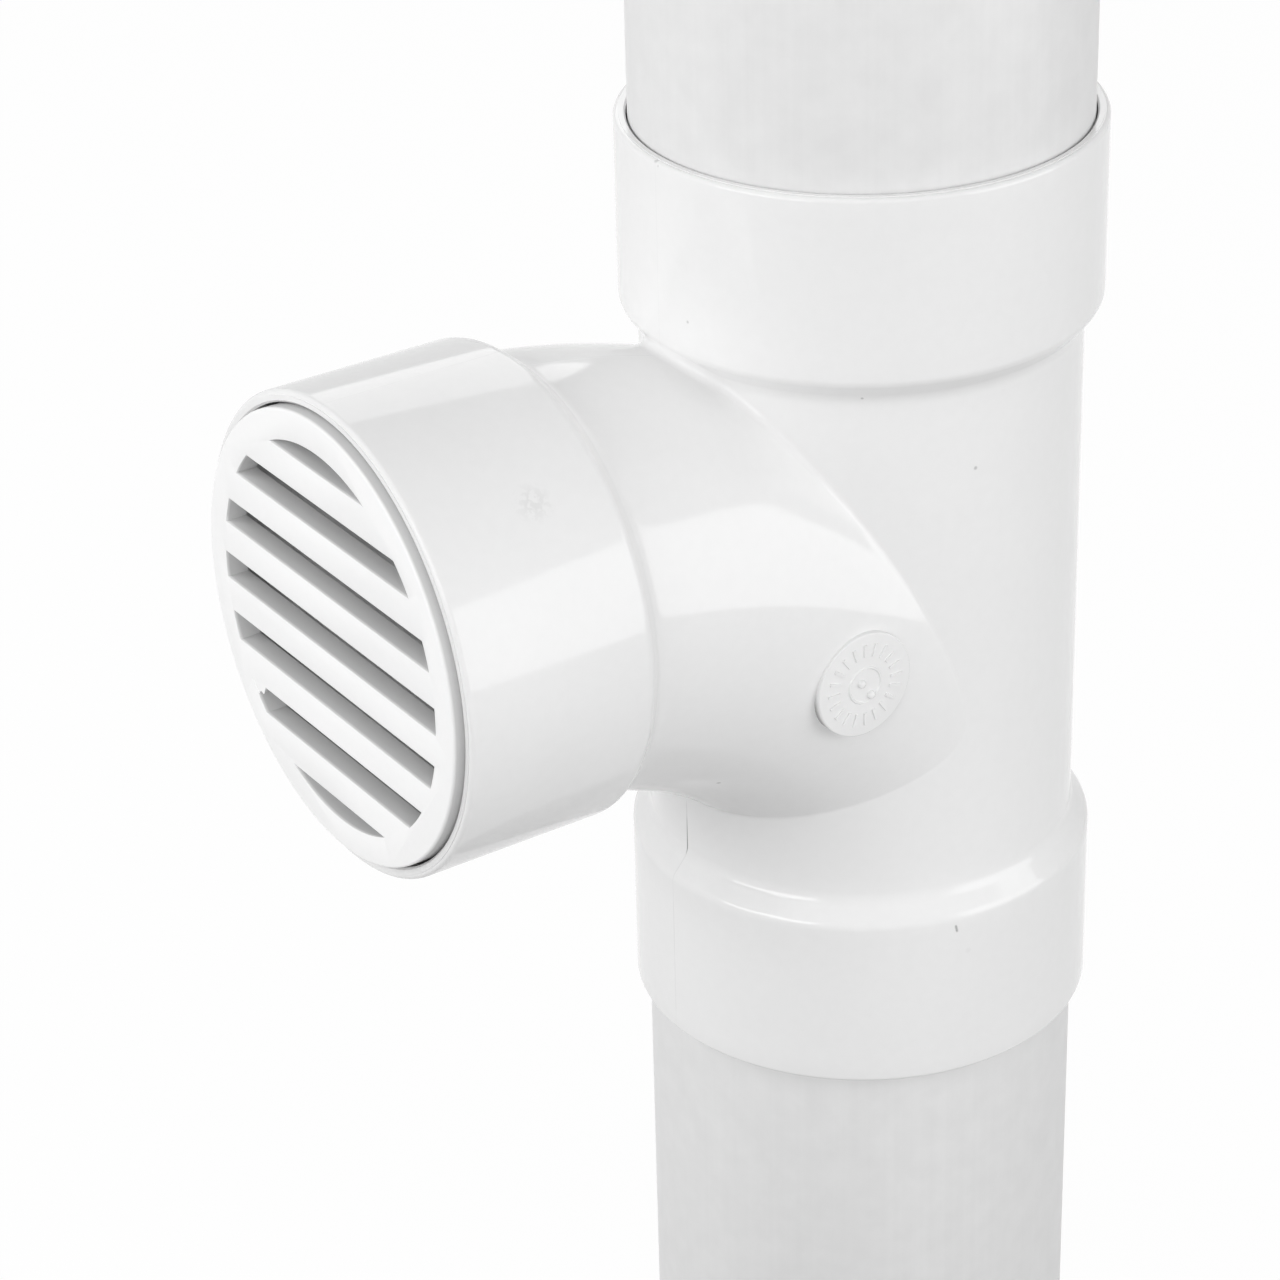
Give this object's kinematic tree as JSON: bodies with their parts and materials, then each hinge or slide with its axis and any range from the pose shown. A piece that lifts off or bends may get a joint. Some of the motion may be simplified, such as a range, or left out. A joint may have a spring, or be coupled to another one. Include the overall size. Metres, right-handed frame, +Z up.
{
  "type": "sanitary tee",
  "caption": "Drain pipe tee with a swept side branch, spigot sockets at each end, cemented pipe lengths above and below, and a slotted round grille in the branch mouth.",
  "frame": {"origin": "centre of the bounding box's bottom face, on the lower pipe's cut end", "axes": "+Z up along the run of the tee, -Y out through the branch and its grille, +X towards the side with the marking pad"},
  "size_m": [0.0956, 0.1718, 0.335],
  "materials": {
    "tee_gloss_white": "glossy moulded white",
    "grille_white": "smooth moulded white",
    "pipe_satin_white": "satin extruded off-white"
  },
  "bodies": {
    "root": {"tee_body": "tee_gloss_white", "grille": "grille_white", "upper_pipe": "pipe_satin_white", "lower_pipe": "pipe_satin_white"}
  },
  "joints": []
}
